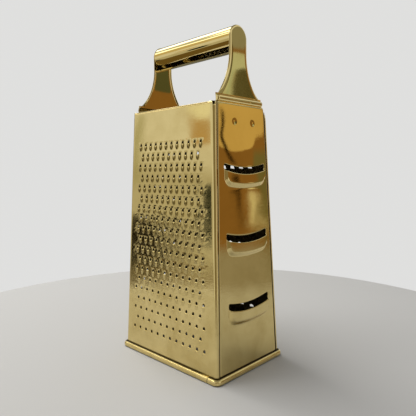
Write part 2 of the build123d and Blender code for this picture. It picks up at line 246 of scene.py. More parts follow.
def makeHandling():
    # smudges and hairline scratches from handling: high where the polish is dulled
    inputs = ("Vector", "Smudge Size", "Smudge Share", "Share Low Down")
    group, given, result = newGroup("handlingMarks", inputs, "Mask")
    place = given["Vector"]
    smudge = noise(group, place, given["Smudge Size"], 5.0, 0.62, 0.4)
    low = ramp(group, heightOf(group, place), *fades["smudges"], smooth=True)
    share = compute(group, "MULTIPLY_ADD", low, given["Share Low Down"], given["Smudge Share"])
    patch = ramp(group, smudge, 0.42, 0.7, end=share)
    scratch = noise(group, stretched(group, place, (3000.0, 3000.0, 70.0), (0.3, 0.5, 0.2)), 1.0, 1.0)
    line = ramp(group, scratch, 0.68, 0.8, end=0.5)
    group.links.new(compute(group, "MAXIMUM", patch, line), result)
    return group


sheetWaves = makeSheetWaves()
handlingMarks = makeHandling()

# each finish's colour after clean and dulled is painted shade, laid on by each point's shade mark over scoop
# hoods, pierced points, tucked-in edges and the foot band's crevice and underside; the roughness is raised
# there too
goldFinish = {
    "clean": (0.81, 0.65, 0.29), "dulled": (0.66, 0.51, 0.20), "pressed": (0.27, 0.2, 0.06),
    "rough": 0.03, "dulledRough": 0.09, "lowRough": 0.16, "pressedRough": 0.12, "waveSize": 24.0,
    "waveDepth": 1.1, "grain": 0.006, "lowGrain": 0.05, "hammerSize": 230.0, "hammerDepth": 0.0,
    "smudgeSize": 38.0, "smudges": 0.55, "lowSmudges": 0.45, "relief": 0.4,
}
slicerFinish = dict(goldFinish, pressed=(0.03, 0.02, 0.01), rough=0.01, dulledRough=0.035, waveDepth=0.8,
                    smudges=0.4, grain=0.003)
piercedFinish = dict(goldFinish, rough=0.05, dulledRough=0.12, lowRough=0.13, hammerDepth=0.22)
handleFinish = dict(goldFinish, lowRough=0.0, lowSmudges=0.0, waveDepth=0.35, grain=0.003, lowGrain=0.0,
                    smudgeSize=55.0, smudges=0.4)
bandFinish = dict(goldFinish, pressed=(0.05, 0.035, 0.015), rough=0.04, dulledRough=0.12, waveDepth=0.3,
                  grain=0.004, lowGrain=0.0, pressedRough=0.3, smudgeSize=70.0)
# the inside of the sheet is painted much darker than the outside: painted shade for the hollow body's inside,
# seen through holes and slots
shadedInsideFinish = dict(goldFinish, clean=(0.13, 0.10, 0.045), dulled=(0.07, 0.055, 0.025),
                    pressed=(0.06, 0.045, 0.02), rough=0.42, dulledRough=0.6, smudgeSize=80.0, smudges=1.0)
weldFinish = dict(goldFinish, clean=(0.42, 0.32, 0.14), dulled=(0.22, 0.16, 0.07), rough=0.4,
                  dulledRough=0.65, waveSize=60.0, smudgeSize=300.0, smudges=1.0)


def makeGold(name, finish):
    # gold plate: colour and polish go from clean to dulled by the handling marks, then darker where shade is
    # painted
    material = bpy.data.materials.new(name)
    material.use_nodes = True
    tree = material.node_tree
    place = addNode(tree, "TexCoord").outputs["Object"]
    pressed, punched = [addNode(tree, "Attribute", attribute_name=mark).outputs["Fac"] for mark in pointMarks]
    handling = {"Vector": place, "Smudge Size": finish["smudgeSize"], "Smudge Share": finish["smudges"],
                "Share Low Down": finish["lowSmudges"]}
    marks = addNode(tree, "Group", handling, node_tree=handlingMarks).outputs["Mask"]
    worn = blend(tree, marks, finish["clean"], finish["dulled"])
    polish = ramp(tree, marks, 0.0, 1.0, finish["rough"], finish["dulledRough"])
    low = ramp(tree, heightOf(tree, place), *fades["satin"], end=finish["lowRough"])
    satin = compute(tree, "ADD", polish, low)
    waving = {"Vector": place, "Wave Size": finish["waveSize"], "Wave Depth": finish["waveDepth"],
              "Grain Depth": finish["grain"], "Grain Low Down": finish["lowGrain"],
              "Hammer Size": finish["hammerSize"],
              "Hammer Depth": compute(tree, "MULTIPLY", punched, finish["hammerDepth"])}
    waves = addNode(tree, "Group", waving, node_tree=sheetWaves).outputs["Height"]
    relief = addNode(tree, "Bump", {"Strength": finish["relief"], "Distance": mm, "Height": waves})
    shader = tree.nodes["Principled BSDF"]
    shader.inputs["Metallic"].default_value = 1.0
    # painted shade: the colour goes dark and the polish duller by each point's shade mark
    tree.links.new(blend(tree, pressed, worn, finish["pressed"]), shader.inputs["Base Color"])
    tree.links.new(compute(tree, "MULTIPLY_ADD", pressed, finish["pressedRough"], satin),
                   shader.inputs["Roughness"])
    tree.links.new(relief.outputs["Normal"], shader.inputs["Normal"])
    return material


panelGold = makeGold("panel gold", goldFinish)
slicerGold = makeGold("slicer panel gold", slicerFinish)
piercedGold = makeGold("pierced panel gold", piercedFinish)
handleGold = makeGold("handle gold", handleFinish)
rimGold = makeGold("rim gold", bandFinish)
shadedInsideGold = makeGold("inside of the sheet, in painted shade", shadedInsideFinish)
weldMetal = makeGold("weld metal", weldFinish)
print("materials ready")


def turned(points, quarters):
    # the front side's (across, outward, up) as the object's own axes, so many quarter turns round
    across, outward, up = points[..., 0], points[..., 1], points[..., 2]
    x, y = [(across, -outward), (outward, across), (-across, outward), (-outward, -across)][quarters]
    return np.stack([x, y, up], axis=-1)


def onSheet(side, across, z, rise):
    # a point of a side's flat sheet: its height sets how far out the sheet stands, and rise is added outwards
    across, z, rise = np.broadcast_arrays(np.asarray(across, float), z, rise)
    depth = side["depth"](z)
    lean = (side["depth"](0.0) - side["depth"](body["top"])) / body["top"]
    return np.stack([across, depth + rise, z + rise * lean], axis=-1)


def wrapProfile():
    # a wide panel's edge, seen from above: flat, a quarter-circle bend, then a short lap on the next side
    angle = np.radians([0, 12, 24, 25.5, 35, 45, 55, 64.5, 66, 78, 90])
    r = body["bend"]
    along = np.concatenate([[r + 1.0], r - r * np.sin(angle), [0.0]])
    inward = np.concatenate([[0.0], r - r * np.cos(angle), [body["lap"]]])
    return along, inward


def tuckProfile():
    # a narrow panel's edge: flat, a small joggle one sheet deep, then a flange bent in behind the wide panel
    s = body["sheet"]
    start = body["lap"] + body["seamGap"]
    r = body["bend"] - s
    angle = np.radians([0, 15, 30, 45, 60, 75, 90])
    joggle = [s + 0.6, s + 0.15, s * 0.75, s * 0.25, -0.15]
    along = np.concatenate([start + np.array(joggle), s + r - r * np.sin(angle), [s]])
    inward = np.concatenate([[0.0, 0.0, s * 0.2, s * 0.8, s], s + r - r * np.cos(angle), [body["tuck"]]])
    return along, inward


def edgeColumns(side, sign, z):
    # the corner profile's points at each height z, on the side's right (sign 1) or left (-1)
    along, inward = side["edge"]
    z = np.repeat(z.reshape(-1, 1), along.size, axis=1)
    return np.stack([sign * (side["half"](z) - along), side["depth"](z) - inward, z], axis=-1)


def shadeTuck(side, parts):
    # painted shade on an end panel's edge, tucked in behind the wide one where no light reaches it, from 0.1
    # mm behind the panel's own face
    points, quads, pressed, punched = joined(parts)
    outward, across = np.abs(points[:, :2]).T
    z = points[:, 2]
    behind = np.clip((side["depth"](z) - outward - 0.1) / 0.3, 0, 1) * (across > side["half"](z) - 6)
    return [(points, quads, np.maximum(pressed, behind), punched)]


def topLine(side, sign):
    # height of the sheet's top along the corner profile: a notch at the front, a rounded corner at the back
    along, inward = side["edge"]
    top = np.full(along.size, body["top"])
    if sign in side["back"]:
        reach = body["backCorner"]
        near = np.minimum(np.maximum(along, inward) - body["bend"], reach)
        drop = np.where(near < 0, reach, reach - np.sqrt(np.maximum(reach**2 - (reach - near) ** 2, 0)))
        return top - drop
    if side["quarters"] % 2 == 0:
        turn = np.degrees(np.arctan2(body["bend"] - along, body["bend"] - inward))
        top[(turn > 25) & (turn < 65) & (along < body["bend"])] -= body["notch"]
    return top


def makeSide(half, depth, quarters, edge, back=()):
    # one side of the body: its half width and distance from the middle at a height, its quarter turns from
    # the front, its edges' profile, and which of its edges (1 right, -1 left) lie at the back
    return {"half": half, "depth": depth, "quarters": quarters, "edge": edge, "back": back}


frontSide = makeSide(halfX, halfY, 0, wrapProfile())
backSide = makeSide(halfX, halfY, 2, wrapProfile(), back=(1, -1))
rightSide = makeSide(halfY, halfX, 1, tuckProfile(), back=(1,))
leftSide = makeSide(halfY, halfX, 3, tuckProfile(), back=(-1,))


def pitchAt(field, row):
    # the pitch of a field's holes at a row, whole or not: it grows evenly from the top row to the foot row
    slope = (field["pitchFoot"] - field["pitchTop"]) / (field["rows"] - 1)
    return field["pitchTop"] + slope * row


def fieldCells(field):
    # every cell of a staggered field: half-pitch number, row, and pitch at its middle, upper and lower edge
    share = field["headroom"] / field["rowStep"]
    out = []
    for row in range(field["rows"]):
        count = field["columns"] - row % 2
        number = 2 * np.arange(count) - (count - 1)
        values = (row, pitchAt(field, row), pitchAt(field, row - share), pitchAt(field, row + 1 - share))
        out.append(np.stack([number, *(np.full(count, value) for value in values)], axis=-1))
    return np.concatenate(out)


# where a cell's twenty border points lie: quarter columns across, sixths down
borderAcross = np.array([-1, -.5, 0, .5, 1, 1, 1, 1, 1, 1, 1, .5, 0, -.5, -1, -1, -1, -1, -1, -1])
borderDown = np.array([0, 0, 0, 0, 0, 1, 2, 3, 4, 5, 6, 6, 6, 6, 6, 5, 4, 3, 2, 1]) / 6


def scoopShape(field):
    # outline of a scoop: half an ellipse over its hole, straight sides and a round foot; its hood is a row of
    # arches across it, high at the mouth and sinking to the foot
    hole, over, dent, length = field["hole"], field["holeOver"], field["dent"], field["length"]
    widths, heights, mouth = field["widths"], field["heights"], -field["mouth"]
    theta = np.linspace(0, np.pi, 9)
    down = mouth - length * np.array([0, 0.3, 0.62, 0.86])
    foot = mouth - length
    across = np.concatenate([hole * np.array([-1, -0.84, 0, 0.84, 1]), widths[:3],
                             widths[3] * np.cos(theta), -widths[2::-1]])
    up = np.concatenate([mouth + over * np.array([0, 0.76, 1, 0.76, 0]), down[:3],
                         down[3] + (foot - down[3]) * np.sin(theta), down[2::-1]])
    rise = np.concatenate([[0, -dent, -dent, -dent, 0], np.zeros(15)])
    contour = np.stack([across, up, rise], axis=-1)
    arches = [np.stack([w * np.cos(theta), d - dip * np.sin(theta), h * np.sin(theta)], axis=-1)
              for w, d, h, dip in zip(widths, down, heights, (field["dip"], field["dip"] / 2, 0, 0))]
    for share, height in ((0.6, 0.55), (1.0, 0.0)):
        sunk = down[3] + share * (foot - down[3]) * np.sin(theta)
        bow = heights[3] * height * np.sin(theta)
        arches.append(np.stack([widths[3] * np.cos(theta), sunk, bow], axis=-1))
    # painted shade on the hood, strongest on its lower middle arches, standing for the dark reflections there
    pressed = np.repeat(np.array([0.6, 0.8, 1.0, 1.0, 0.8, 0.3]), theta.size)
    return contour, np.stack(arches), pressed


def pointShape(field):
    # a pierced point: a steep ring of torn metal round its hole, higher and lower round the ring like petals
    angle = np.radians(np.array([165, 127.5, 90, 52.5, 15, 0, -18, -36, -54, -68, -80, -86, -90, -94, -100,
                                 -112, -126, -144, -162, -180]))
    ring = []
    for radius, rise, torn in field["rings"]:
        jag = torn * np.abs(np.cos(2 * angle + 0.4))
        ring.append(np.stack([radius * np.cos(angle), radius * np.sin(angle), rise - jag], axis=-1))
    # painted shade on the torn ring, from none at its outer edge to 0.6 at the hole's lip
    return ring[0], np.stack(ring), np.repeat(np.linspace(0, 0.6, len(ring)), angle.size)


def fieldSurface(side, field):
    # all cells at once: each is a ring of squares from its border to the outline, and the shape inside it,
    # which gets lower from the sixth row down
    cells = fieldCells(field)
    count = len(cells)
    number, row, pitch, upper, lower = cells.T
    cx = field["shift"] + number * pitch / 2
    cz = field["topRow"] - row * field["rowStep"]
    pierced = field["kind"] == "point"
    contour, inner, pressed = pointShape(field) if pierced else scoopShape(field)
    wide = upper[:, None] + (lower - upper)[:, None] * borderDown
    borderX = field["shift"] + (number[:, None] + borderAcross) * wide / 2
    borderZ = cz[:, None] + field["headroom"] - borderDown * field["rowStep"]
    outlineX = cx[:, None] + contour[:, 0]
    outlineZ = cz[:, None] + contour[:, 1]
    away = np.hypot(borderX - outlineX, borderZ - outlineZ)
    part = np.minimum(field["halo"] / away, 0.5)
    haloX, haloZ = outlineX + (borderX - outlineX) * part, outlineZ + (borderZ - outlineZ) * part
    rings = np.stack([onSheet(side, borderX, borderZ, 0.0), onSheet(side, haloX, haloZ, 0.0),
                      onSheet(side, outlineX, outlineZ, contour[:, 2])], axis=1)
    fade = 1 - (1 - field["lastRow"]) * np.clip((row - 5) / (field["rows"] - 8), 0, 1) ** 1.2
    shape = onSheet(side, cx[:, None, None] + inner[..., 0], cz[:, None, None] + inner[..., 1],
                    inner[..., 2] * (0.35 + 0.65 * fade)[:, None, None])
    parts = []
    # the rings round the cells carry no painted shade; the shape inside carries its painted shade, faded in
    # the lower rows like its height
    flat, innerShade = np.zeros(rings.shape[:3]), fade[:, None] * pressed
    for points, closed, marks in ((rings, True, flat), (shape, pierced, innerShade)):
        rows, columns = points.shape[1:3]
        quads = gridQuads(rows, columns, closed=closed)[:, ::-1 if closed else 1]
        quads = quads[None] + (np.arange(count) * rows * columns)[:, None, None]
        points = turned(points, side["quarters"]).reshape(-1, 3)
        parts.append((points, quads.reshape(-1, 4), marks.ravel(), np.ones(len(points))))
    return parts


def sideMargins(side, field):
    # the sheet beside a field, row by row, from the last cell out round the corner profile
    share = field["headroom"] / field["rowStep"]
    sixths = np.arange(7) / 6
    parts = []
    for row in range(field["rows"]):
        z = field["topRow"] + field["headroom"] - field["rowStep"] * (row + sixths)
        pitch = pitchAt(field, row - share + sixths)
        for sign in (1, -1):
            edge = edgeColumns(side, sign, z)
            numbers = np.arange(field["columns"] - row % 2, field["columns"] + 0.1, 0.5)
            block = field["shift"] + sign * numbers[None, :] * pitch[:, None] / 2
            middle = (block[:, -1:] + edge[:, :1, 0]) / 2
            flat = onSheet(side, np.concatenate([block, middle], axis=1), z[:, None], 0.0)
            strip = np.concatenate([flat, edge], axis=1)
            points, quads = surface(strip if sign < 0 else strip[:, ::-1])
            parts.append((turned(points, side["quarters"]), quads))
    return parts


def spread(side, block, z):
    # columns across the sheet at height z: a block of them, squeezed where the sheet is narrower, and one
    # more halfway to each edge
    reach = side["half"](z) - side["edge"][0][0]
    block = block * np.minimum(1, (reach - 0.25) / np.abs(block).max())
    return np.concatenate([(block[:, :1] - reach) / 2, block, (block[:, -1:] + reach) / 2], axis=1)


def sheetZone(side, block, heights, rise=None):
    # plain sheet between two heights: the columns across it, then the corner profiles close both sides
    z = np.asarray(heights, float)[:, None]
    across = spread(side, block, z)
    flat = onSheet(side, across, z, rise(across, z) if rise else 0.0)
    return np.concatenate([edgeColumns(side, -1, z)[:, ::-1], flat, edgeColumns(side, 1, z)], axis=1)


def bendTop(side, grid, hem):
    # lowers a zone's last rows to the sheet's own top line, or to the rolled hem's middle between the corners
    n = side["edge"][0].size
    target = np.full(grid.shape[1], body["top"])
    target[:n] = topLine(side, -1)[::-1]
    target[-n:] = topLine(side, 1)
    if hem:
        half = side["half"](body["top"]) - body["hemEnd"]
        target = np.where(np.abs(grid[-1, :, 0]) <= half + 0.01, body["top"] - body["sheet"], target)
    for k in range(6):
        grid[-1 - k, :, 2] = np.minimum(grid[-1 - k, :, 2], target - 0.7 * k)
    return grid


def hemRoll(side):
    # a wide panel's top folded inwards: a half round over the top, then a strip down the inside
    s, top = body["sheet"], body["top"]
    low = top - body["hemEnd"]
    angle = np.linspace(0, np.pi, 9)
    rise = np.concatenate([-s + s * np.cos(angle), [-2 * s, -2 * s + 0.06, -s - 0.06, -s - 0.02, -s - 0.02]])
    up = np.concatenate([top - s + s * np.sin(angle), [low, low - 0.1, low - 0.1, low, top - s]])
    across = np.linspace(-1, 1, 9)[:, None] * (side["half"](up)[None, :] - body["hemEnd"])
    points, quads = sweptLoop(onSheet(side, across, up, rise))
    return turned(points, side["quarters"]), quads


def bandCreviceShade(z):
    # painted shade in the crevice between a panel and the foot band, up to just over the band
    return np.clip(5.6 - z, 0, 1)


def fieldPanel(side, field, hem=True):
    # a whole side with a field of cells: foot zone, field, margins and top zone
    numbers = np.arange(-field["columns"], field["columns"] + 0.1, 0.5)
    share = field["headroom"] / field["rowStep"]
    topEdge = field["topRow"] + field["headroom"]
    footEdge = topEdge - field["rows"] * field["rowStep"]
    topBlock, footBlock = [field["shift"] + numbers * pitchAt(field, row - share) / 2
                           for row in (0, field["rows"])]
    foot = sheetZone(side, footBlock, [body["foot"], 3.0, 4.6, 5.6, footEdge])
    upper = [topEdge, topEdge + 4, 178.0, *np.arange(179.4, 186.0, 0.8), 187.0, 190.4, 192.0, 193.3]
    upper.append(body["top"])
    top = bendTop(side, sheetZone(side, topBlock, upper, field.get("rise")), hem)
    parts = fieldSurface(side, field) + sideMargins(side, field)
    for grid in (foot, top):
        points, quads = surface(grid)
        # the foot and top zones carry the painted shade of the crevice over the foot band
        parts.append((turned(points, side["quarters"]), quads, bandCreviceShade(points[:, 2])))
    return parts


fineField = {
    "kind": "scoop", "rows": 19, "columns": 12, "topRow": 168.6, "rowStep": 8.22, "headroom": 2.4,
    "shift": -0.6, "pitchTop": 6.18, "pitchFoot": 7.39, "mouth": 0.8, "hole": 1.1, "holeOver": 1.75,
    "length": 4.4, "dip": 0.5, "dent": 0.12, "halo": 0.45, "lastRow": 0.0,
    "widths": np.array([1.25, 1.55, 1.5, 1.05]), "heights": np.array([0.8, 0.95, 0.75, 0.4]),
}
coarseField = {
    "kind": "scoop", "rows": 12, "columns": 8, "topRow": 164.0, "rowStep": 12.9, "headroom": 3.0,
    "shift": 0.0, "pitchTop": 9.1, "pitchFoot": 10.8, "mouth": 1.2, "hole": 2.1, "holeOver": 2.4,
    "length": 7.6, "dip": 0.6, "dent": 0.25, "halo": 0.5, "lastRow": 1.0,
    "widths": np.array([2.5, 2.85, 2.7, 1.9]), "heights": np.array([2.3, 2.5, 1.9, 0.95]),
}
zestField = {
    "kind": "point", "rows": 23, "columns": 10, "topRow": 168.6, "rowStep": 6.7, "headroom": 3.35,
    "pitchTop": 4.95, "pitchFoot": 6.05, "shift": 0.0, "halo": 0.4, "lastRow": 1.0,
    "rings": [(1.5, 0.0, 0.0), (1.28, 0.35, 0.05), (1.08, 0.98, 0.4), (0.92, 0.9, 0.4), (0.78, 0.1, 0.0)],
}

makePiece("frontShredderPanel", fieldPanel(frontSide, fineField), piercedGold, ["front_shredder_panel"],
          thickness=0.5, lining=shadedInsideGold)
makePiece("frontHem", [hemRoll(frontSide)], panelGold, ["front_shredder_panel"], closed=True)
makePiece("backCoarsePanel", fieldPanel(backSide, coarseField), piercedGold, ["back_coarse_panel"],
          thickness=0.5, lining=shadedInsideGold)
makePiece("backHem", [hemRoll(backSide)], panelGold, ["back_coarse_panel"], closed=True)

dimples = {"height": 182.5, "middle": 1.5, "spacing": 20.4, "radius": 2.8, "depth": 0.16}


def dimpleRise(middle):
    # spot weld dimples: a smooth hollow that fades to nothing at its radius
    def rise(across, z):
        out = np.zeros(np.broadcast(across, z).shape)
        for sign in (-1, 1):
            beside = across - middle - sign * dimples["spacing"] / 2
            away = np.hypot(beside, z - dimples["height"]) / dimples["radius"]
            out = out - dimples["depth"] * np.clip(1 - away**2, 0, 1) ** 1.5
        return out
    return rise


slots = {
    "heights": (50.9, 100.4, 149.9), "middle": 1.5, "half": 22.9, "sag": 2.9, "corner": 1.7,
    "bladeDrop": 5.0, "bladeSag": 3.1, "rise": 2.0, "lipDrop": 15.2, "lipSag": 2.4, "lipCorner": 6.0,
    "sideSlope": 1.9, "footSlope": 3.6,
}


def roundedEnd(u):
    # how far a slot's edges turn towards each other at its ends: a quarter of a circle over the last stretch
    r = slots["corner"]
    past = np.maximum(np.minimum(np.abs(u), slots["half"]) - (slots["half"] - r), 0)
    return r - np.sqrt(np.maximum(r**2 - past**2, 0))


def sagging(u, sag):
    # a shallow arc: nothing in the slot's middle, growing with the square of the distance to sag at its ends
    return sag * (np.minimum(np.abs(u), slots["half"]) / slots["half"]) ** 2


def slotUpper(u):
    # the slot's upper edge: a shallow arc, turned down into a rounded corner at each end
    return sagging(u, slots["sag"]) - roundedEnd(u)


def slotBlade(u):
    # the blade edge: a parallel arc below it, turned up into a rounded corner at each end
    return sagging(u, slots["bladeSag"]) - slots["bladeDrop"] + roundedEnd(u)


def lipFoot(u):
    # where the raised lip below a slot ends: a shallow arc
    return sagging(u, slots["lipSag"]) - slots["lipDrop"]


def lipRise(u, v):
    # the raised lip below a slot: full height inside its outline, easing to nothing at its sides and foot
    h, r = slots["half"], slots["lipCorner"]
    low = lipFoot(u)
    beside, under = np.abs(u) - (h - r), low + r - v
    corner = (beside > 0) & (under > 0)
    inside = np.where(corner, r - np.hypot(np.maximum(beside, 0), np.maximum(under, 0)),
                      np.minimum(h - np.abs(u), v - low))
    lean = under / np.maximum(np.hypot(beside, under), 1e-6)
    footShare = np.clip(np.where(corner, lean, (v - low) < (h - np.abs(u))), 0, 1)
    width = slots["sideSlope"] + (slots["footSlope"] - slots["sideSlope"]) * footShare
    t = np.clip(inside / width, 0, 1)
    above = np.clip((slotUpper(u) - v) / 0.01, 0, 1)
    return slots["rise"] * t * t * (3 - 2 * t) * above


def slicerBlock():
    # columns across the slotted panel: close together at the slots' ends and over the weld dimples
    h = slots["half"]
    ends = h - 1.8 + np.array([0.45, 0.9, 1.25, 1.5, 1.68, 1.8, 2.0, 2.7])
    slotColumns = np.concatenate([-ends[::-1], np.linspace(-h + 1.8, h - 1.8, 45), ends]) + slots["middle"]
    spots = [dimples["middle"] + sign * dimples["spacing"] / 2 for sign in (-1, 1)]
    extra = np.concatenate([np.arange(spot - 3.1, spot + 3.2, 0.44) for spot in spots])
    extra = extra[np.min(np.abs(extra[:, None] - slotColumns[None, :]), axis=1) > 0.15]
    return np.sort(np.concatenate([slotColumns, extra]))


def slicerRows():
    # rows up the slotted panel: plain ones at a height, ones at a share of the way up a slot's lip, and ones
    # a little over a slot's upper edge
    lipShares = (0, .04, .08, .12, .17, .22, .28, .34, .4, .5, .62, .75, .86, .95, 1)
    rows = [("flat", v, 0) for v in (body["foot"], 4.6, 5.6, 12.0, 22.0, 30.0)]
    for height in slots["heights"]:
        rows += [("flat", height + v, 0) for v in (-17.5, -16.2)]
        rows += [("lip", height, share) for share in lipShares]
        rows += [("upper", height, over) for over in (0.0, 0.4, 1.2, 2.6)]
        if height != slots["heights"][-1]:
            rows += [("flat", height + v, 0) for v in (7.0, 16.0, 25.0)]
    over = [158.0, 168.0, 176.0, *np.arange(179.3, 185.8, 0.45), 188.0, 191.0, 192.6, 193.8, body["top"]]
    return rows + [("flat", v, 0) for v in over]


def slicerPanel():
    # one grid whose rows follow the slots' arcs; the squares between a slot's two edges are left out
    side = rightSide
    block = slicerBlock()
    dimpled = dimpleRise(dimples["middle"])
    rows, gaps = [], []
    for kind, base, step in slicerRows():
        x = spread(side, block, np.full((1, 1), float(base)))[0]
        u = x - slots["middle"]
        if kind == "flat":
            local = np.zeros(x.size)
            rise = dimpled(x, base + local)
        elif kind == "lip":
            local = lipFoot(u) + (slotBlade(u) - lipFoot(u)) * step
            rise = lipRise(u, local)
            if step == 1:
                gaps.append(len(rows))
        else:
            local = slotUpper(u) + step
            rise = np.where(np.abs(u) < slots["half"], -0.14 * (step == 0.0), 0.0)
        z = base + local
        left = edgeColumns(side, -1, z[:1])[0][::-1]
        right = edgeColumns(side, 1, z[-1:])[0]
        rows.append(np.concatenate([left, onSheet(side, x, z, rise), right]))
    grid = bendTop(side, np.stack(rows), False)
    keep = np.ones((grid.shape[0] - 1, grid.shape[1] - 1), dtype=bool)
    n = side["edge"][0].size
    for row in gaps:
        u = (grid[row, :-1, 0] + grid[row, 1:, 0]) / 2 - slots["middle"]
        gone = np.abs(u) < slots["half"]
        gone[:n] = gone[-n:] = False
        keep[row] = ~gone
    points, quads = surface(grid, keep=keep)
    # the slotted panel carries the painted shade of the crevice over the foot band
    return [(turned(points, side["quarters"]), quads, bandCreviceShade(points[:, 2]))]


zestField["rise"] = dimpleRise(-dimples["middle"])
makePiece("rightSlicerPanel", shadeTuck(rightSide, slicerPanel()), slicerGold, ["right_slicer_panel"],
          thickness=0.55, lining=shadedInsideGold)
makePiece("leftZesterPanel", shadeTuck(leftSide, fieldPanel(leftSide, zestField, hem=False)), piercedGold,
          ["left_zester_panel"], thickness=0.5, lining=shadedInsideGold)

bracket = {
    "head": 9.5, "axisHeight": 242.1, "neckFoot": 232.4, "shoulder": 44.0, "foot": 199.4, "face": 43.0,
    "inset": np.array([0, 0, .05, .17, .4, .72, 1.1, 1.55, 2.05, 2.6, 3.4]),
    "out": np.array([41.7, 41.83, 41.97, 42.15, 42.35, 42.53, 42.71, 42.85, 42.93, 42.98, 43.0]),
    "bulge": 0.00115, "bulgeTop": 218.0, "beadHalf": 25.1, "beadRound": 1.8, "tongueHalf": 24.0,
    "tongueFoot": 173.0, "sheet": 0.8, "footOut": 42.65, "taperTop": 206.0, "taper": 6.0, "beadTop": 199.3,
    "beadFoot": 195.6, "beadReach": 45.3,
}


def bracketFace():
    # rings inset from the outline, each an arc, a straight neck and a quarter of the round head, then ribs to
    # the middle; below bulgeTop the face stands out by bulge times the square of the distance, and below
    # taperTop its rim comes out to footOut
    b = bracket
    d = b["inset"][None, :]
    middle = b["head"] + b["shoulder"]
    s = np.linspace(0, 1, 17)[:, None]
    low = np.arcsin((b["neckFoot"] - b["foot"]) / (b["shoulder"] + d))
    angle = low * (1 - s)
    curveY = middle - (b["shoulder"] + d) * np.cos(angle)
    curveZ = b["neckFoot"] - (b["shoulder"] + d) * np.sin(angle)
    t = np.linspace(0, 1, 7)[1:, None]
    neckY = np.broadcast_to(b["head"] - d, (t.size, d.size))
    neckZ = np.broadcast_to(b["neckFoot"] + (b["axisHeight"] - b["neckFoot"]) * t, neckY.shape)
    turn = np.linspace(0, np.pi / 2, 15)[1:, None]
    headY, headZ = (b["head"] - d) * np.cos(turn), b["axisHeight"] + (b["head"] - d) * np.sin(turn)
    y, z = np.concatenate([curveY, neckY, headY]), np.concatenate([curveZ, neckZ, headZ])
    x = b["out"] + b["bulge"] * np.clip(b["bulgeTop"] - z, 0, None) ** 2
    flare = np.clip((b["taperTop"] - z) / b["taper"], 0, 1) ** 0.8
    x = x + (np.maximum(b["out"], b["footOut"]) - b["out"]) * flare
    ribs = np.array([0.2, 0.4, 0.6, 0.8, 1.0])[None, :]
    ribY = y[:, -1:] * (1 - ribs)
    ribZ = z[:, -1:] + (np.minimum(z[:, -1:], b["axisHeight"]) - z[:, -1:]) * ribs
    half = np.stack([np.concatenate([x, x[:, -1:] + 0 * ribY], axis=1),
                     np.concatenate([y, ribY], axis=1), np.concatenate([z, ribZ], axis=1)], axis=-1)
    other = half * np.array([1, -1, 1])
    return [surface(half[:, ::-1]), surface(other)]


def beadAndTongue():
    # the sheet's middle line out over the panel's edge, round the bead and down inside, carried across
    b = bracket
    inside, high, low, reach = b["face"] - b["sheet"] / 2, b["beadTop"], b["beadFoot"], b["beadReach"]
    hang = halfX(low) - body["sheet"] - b["sheet"] / 2
    path = rounded([(inside, high + 1.9), (inside, high), (reach, high), (reach, low), (hang, low)],
                   [0.5, 1.84, 1.84], 9)
    loop = ribbon(path, b["sheet"] / 2)
    angle = np.linspace(0, np.pi / 2, 7)
    fromEnd = b["beadRound"] * (1 - np.cos(angle))
    swell = np.sin(angle) * 0.9 + 0.1
    y = np.concatenate([fromEnd - b["beadHalf"], [-8, 8], b["beadHalf"] - fromEnd[::-1]])
    swell = np.concatenate([swell, [1, 1], swell[::-1]])[:, None]
    x = b["face"] + (loop[None, :, 0] - b["face"]) * swell
    rings = np.stack(np.broadcast_arrays(x, y[:, None], loop[:, 1]), axis=-1)
    low = b["tongueFoot"]
    foot = halfX(low) - 1.0
    blade = rounded([(hang - .4, 180.0), (hang - .4, 196.0), (hang + .4, 196.0), (foot + .4, low + .4),
                     (foot + .2, low), (foot - .2, low), (foot - .4, low + .4)], [0, 0, 0, 0, 0], 1)
    across = np.linspace(-1, 1, 5)[:, None] * (b["tongueHalf"] - 0.6 * (blade[:, 1] < low + 0.2))
    tongue = np.stack(np.broadcast_arrays(blade[:, 0], across, blade[:, 1]), axis=-1)
    return [sweptLoop(rings), sweptLoop(tongue)]


def mirrored(parts):
    # the same pieces of surface on the other side of the middle, faces turned to point out again
    return [(p * np.array([-1, 1, 1]), q[:, ::-1]) for p, q in parts]


for word, onSide in (("right", list), ("left", mirrored)):
    node = word + "_handle_bracket"
    makePiece(word + "BracketFace", onSide(bracketFace()), handleGold, [node], thickness=0.75)
    makePiece(word + "BracketBead", onSide(beadAndTongue()), handleGold, [node], closed=True)

tube = {"radius": 9.2, "wall": 0.8, "outerEnd": 41.72, "innerEnd": 42.2}


def gripTube():
    # a thin closed profile turned once round the grip's axis
    r, w, outer, inner = tube["radius"], tube["wall"], tube["outerEnd"], tube["innerEnd"]
    long = np.concatenate([[0.05 - outer], np.linspace(-40.2, 40.2, 13), [outer - 0.05]])
    along = np.concatenate([long, [outer, inner, inner - 0.1, 0.0, 0.1 - inner, -inner, -outer]])
    end = [r - 0.04, r - w + 0.03, r - w]
    radius = np.concatenate([np.full(long.size, r), end, [r - w], end[::-1]])
    turn = np.linspace(0, 2 * np.pi, 97)[:-1, None]
    y, z = radius * np.cos(turn), bracket["axisHeight"] + radius * np.sin(turn)
    points = np.stack(np.broadcast_arrays(along, y, z), axis=-1)
    points = np.concatenate([points, points[:1]])
    return [surface(points, closed=True)]


makePiece("gripTube", gripTube(), handleGold, ["grip_tube"], closed=True)

band = {
    "reach": 2.54, "height": 4.45, "sheet": 0.6, "leg": 5.5, "legOut": -1.5, "lipGap": 0.12, "joint": 45.6,
    "jointGap": 0.5,
}


